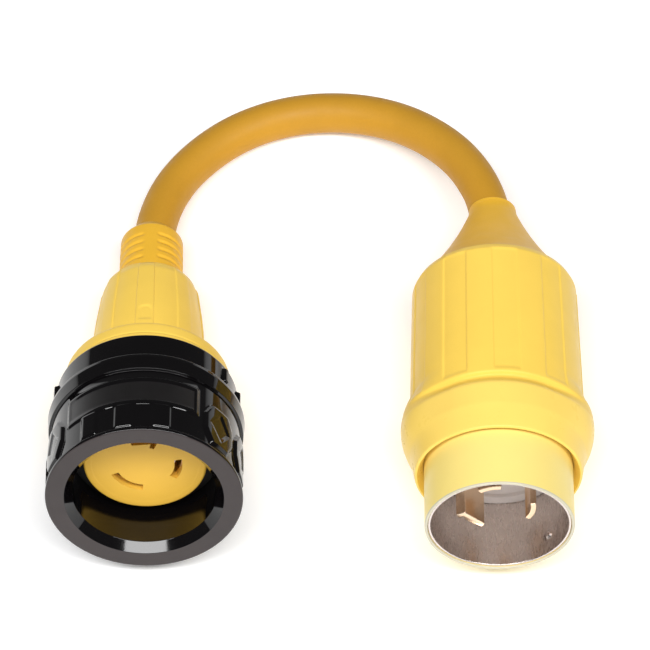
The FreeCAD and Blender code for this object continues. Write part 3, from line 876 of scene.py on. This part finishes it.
def finish(name, colour, roughness, grain=0.0006, height=0.00001, mottle=0.06, edge=None,
           edge_amount=0.3, stretch=None, **shader_values):
    """A moulded or metal finish: mottled colour, uneven roughness, a fine grain and worn edges.

    Grain is the size of the surface's fine bumps and height their depth, both in metres.
    """
    material = bpy.data.materials.new(name)
    material.use_nodes = True
    tree = material.node_tree
    shader = tree.nodes["Principled BSDF"]
    for key, value in shader_values.items():
        shader.inputs[key.replace("_", " ")].default_value = value
    place = tree.nodes.new("ShaderNodeTexCoord").outputs["Object"]
    if stretch:
        place = add(tree, "ShaderNodeVectorMath", i0=place, i1=stretch)
        place.operation = "MULTIPLY"
        place = place.outputs[0]
    broad = noise(tree, place, MOTTLE_SIZE, 2.0)
    fine = noise(tree, place, grain, 4.0)
    tone = remapped(tree, broad, 0.3, 0.7, 0.0, 1.0)
    base = blended(tree, tone, shaded(colour, 1 - mottle), shaded(colour, 1 + mottle))
    speck = remapped(tree, fine, 0.35, 0.65, 0.0, SPECK_SHARE * mottle)
    base = blended(tree, speck, base, shaded(colour, 0.8))
    if edge:
        pointed = tree.nodes.new("ShaderNodeNewGeometry").outputs["Pointiness"]
        worn = remapped(tree, pointed, 0.515, 0.58, 0.0, edge_amount)
        base = blended(tree, worn, base, edge)
    tree.links.new(base, shader.inputs["Base Color"])
    rubbed = noise(tree, place, RUB_SIZE, 5.0, 0.65)
    uneven = remapped(tree, rubbed, 0.3, 0.7, roughness * 0.86, roughness * 1.16)
    tree.links.new(uneven, shader.inputs["Roughness"])
    bump = add(tree, "ShaderNodeBump", Strength=1.0, Distance=height, Height=fine)
    tree.links.new(bump.outputs[0], shader.inputs["Normal"])
    return material


FINISHES = {
    "ring_black": finish(
        "black_gloss", (0.0026, 0.0022, 0.0026), 0.045, grain=0.004, height=0.000003, mottle=0.12,
        Specular_IOR_Level=0.4),
    "ring_lip": finish(
        "black_satin", (0.023, 0.0145, 0.0138), 0.40, grain=0.0005, height=0.000006, mottle=0.10),
    "ring_panel": finish(
        "black_spark_texture", (0.0075, 0.0066, 0.0068), 0.40, grain=0.0004, height=0.000012, mottle=0.10),
    "retainer_nylon": finish("natural_nylon", (0.75, 0.73, 0.66), 0.45),
    "boot_yellow": finish(
        "yellow_vinyl", (0.87, 0.59, 0.10), 0.34, grain=0.0005, height=0.000008, mottle=0.025,
        edge=(0.92, 0.66, 0.13), Specular_IOR_Level=0.12),
    # A paler copy of the boot's yellow for the plug's flange. The paler colour is a painted highlight, and
    # the roughness is a little lower than the boot's.
    "flange_yellow": finish(
        "vinyl_painted_highlight", (0.885, 0.625, 0.135), 0.30, grain=0.0005, height=0.000005, mottle=0.02,
        Specular_IOR_Level=0.15),
    # The strain relief's own deeper yellow. On the plug boot's cone the same darker yellow is painted
    # shade.
    "sleeve_yellow": finish(
        "deep_yellow_vinyl", (0.80, 0.45, 0.036), 0.46, grain=0.0005, height=0.000010, mottle=0.035,
        edge=(0.82, 0.50, 0.06), Specular_IOR_Level=0.25),
    "face_yellow": finish(
        "yellow_nylon", (0.81, 0.48, 0.062), 0.42, grain=0.0005, height=0.000008, mottle=0.025,
        Specular_IOR_Level=0.3),
    "nose_yellow": finish(
        "pale_yellow_nylon", (0.88, 0.70, 0.215), 0.34, grain=0.0008, height=0.000003, mottle=0.015,
        Specular_IOR_Level=0.2),
    "nose_rim": finish(
        "cream_rim", (0.56, 0.52, 0.39), 0.42, height=0.000004, mottle=0.03),
    "gasket_black": finish(
        "black_rubber", (0.02, 0.02, 0.02), 0.62, grain=0.0005, height=0.00002, mottle=0.2),
    "brass": finish(
        "bare_brass", (0.84, 0.62, 0.42), 0.24, grain=0.0012, height=0.000004, mottle=0.05,
        edge=(0.95, 0.82, 0.66), edge_amount=0.5, Metallic=1.0),
    "shell_nickel": finish(
        "nickel_plate", (0.69, 0.61, 0.57), 0.27, grain=0.0010, height=0.0000004, mottle=0.03,
        edge=(0.85, 0.82, 0.78), edge_amount=0.4, stretch=(4.0, 1.0, 4.0), Metallic=1.0),
    "carrier_grey": finish("grey_moulding", (0.74, 0.69, 0.66), 0.5, grain=0.0005),
    "housing_black": finish("black_moulding", (0.03, 0.03, 0.03), 0.45, mottle=0.12),
    "screw_steel": finish(
        "zinc_plate", (0.62, 0.62, 0.63), 0.3, grain=0.0009, height=0.000006, mottle=0.05, Metallic=1.0),
    "cord_yellow": finish(
        "cord_jacket", (0.525, 0.265, 0.022), 0.55, grain=0.0009, height=0.000022, mottle=0.04,
        Specular_IOR_Level=0.25),
    "core_black": finish("black_insulation", (0.02, 0.02, 0.02), 0.35),
    "core_white": finish("white_insulation", (0.85, 0.85, 0.82), 0.35),
    "core_green": finish("green_insulation", (0.05, 0.35, 0.12), 0.35),
}


def dress_nodes():
    """Every CAD node gets its slot's finish."""
    for row in frame["record"]["subparts"]:
        node = frame["nodes"][row["node"]]
        node.data.materials.clear()
        node.data.materials.append(FINISHES[row["material_slot"]])


CONNECTOR_NODES = ("sealing_ring", "connector_boot", "connector_strain_relief", "contact_block")
CONE_FROM = 112.2
FLANGE_TO = 44.0
RIM_TO = 0.7


def mount_piece(piece, body, node, slot, extra=()):
    """Puts a piece in its body in place of its CAD node, which it hides, with its slot's finish and the
    extra finishes. Each extra finish takes the faces it picks.
    """
    inverse = (CONNECTOR if node in CONNECTOR_NODES else PLUG).inverted()
    piece.data.materials.append(FINISHES[slot])
    for number, (name, picks) in enumerate(extra, 1):
        piece.data.materials.append(FINISHES[name])
        for face in piece.data.polygons:
            here = inverse @ face.center
            if picks(math.degrees(math.atan2(here.y, here.x)), math.hypot(here.x, here.y), -here.z):
                face.material_index = number
    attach(piece, body)
    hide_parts(node)


# Each of these says whether an extra finish takes a face whose middle is at this angle, r and s.


def on_front(angle, r, s):
    return s < 0.12 and r > 30.4


def on_panel(angle, r, s):
    in_reach = PANEL_FRONT + 2.2 < s < PANEL_REAR - 2.0
    return r > 34 and in_reach and min(abs(off(angle, m)) for m in PANEL_MIDDLES) < 40


def on_rim(angle, r, s):
    return s < RIM_TO


# The plug boot's cone faces, which take the strain relief's darker yellow as painted shade.
def on_cone_painted_shade(angle, r, s):
    return s > CONE_FROM


# The plug boot's flange faces, which take the painted highlight.
def on_flange_painted_highlight(angle, r, s):
    return s < FLANGE_TO


# ---- the whole adapter -----------------------------------------------------------------------------

bpy.context.scene.view_settings.view_transform = "Standard"
add_camera()
add_world()
add_floor()
add_light("key", (0, -0.40, 0.92), width=3.8, height=0.54, radiance=14.8)
add_light("front", (0, -0.93, 0.36), width=1.8, height=0.6, radiance=2.5)

dress_nodes()
mount_piece(build_ring(), "ring", "sealing_ring", "ring_black",
            [("ring_lip", on_front), ("ring_panel", on_panel)])
mount_piece(build_connector_boot(), "adapter", "connector_boot", "boot_yellow")
mount_piece(build_sleeve(), "adapter", "connector_strain_relief", "sleeve_yellow")
mount_piece(build_face(), "adapter", "contact_block", "face_yellow")
# On the plug boot, the flange's paler finish is a painted highlight and the cone's darker finish is painted
# shade.
mount_piece(build_plug_boot(), "adapter", "plug_boot", "boot_yellow",
            [("sleeve_yellow", on_cone_painted_shade), ("flange_yellow", on_flange_painted_highlight)])
mount_piece(build_nose(), "adapter", "plug_nose", "nose_yellow", [("nose_rim", on_rim)])
mount_piece(build_shell(), "adapter", "ground_shell", "shell_nickel")
for blade in build_blades():
    mount_piece(blade, "adapter", blade.name.replace("brass_", ""), "brass")
mount_piece(build_carrier(), "adapter", "blade_carrier", "carrier_grey")
mount_piece(build_collar(), "adapter", "plug_neck_collar", "sleeve_yellow")

cord = build_cord()
cord.data.materials.append(FINISHES["cord_yellow"])
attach(cord, "adapter")
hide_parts("cord_jacket")
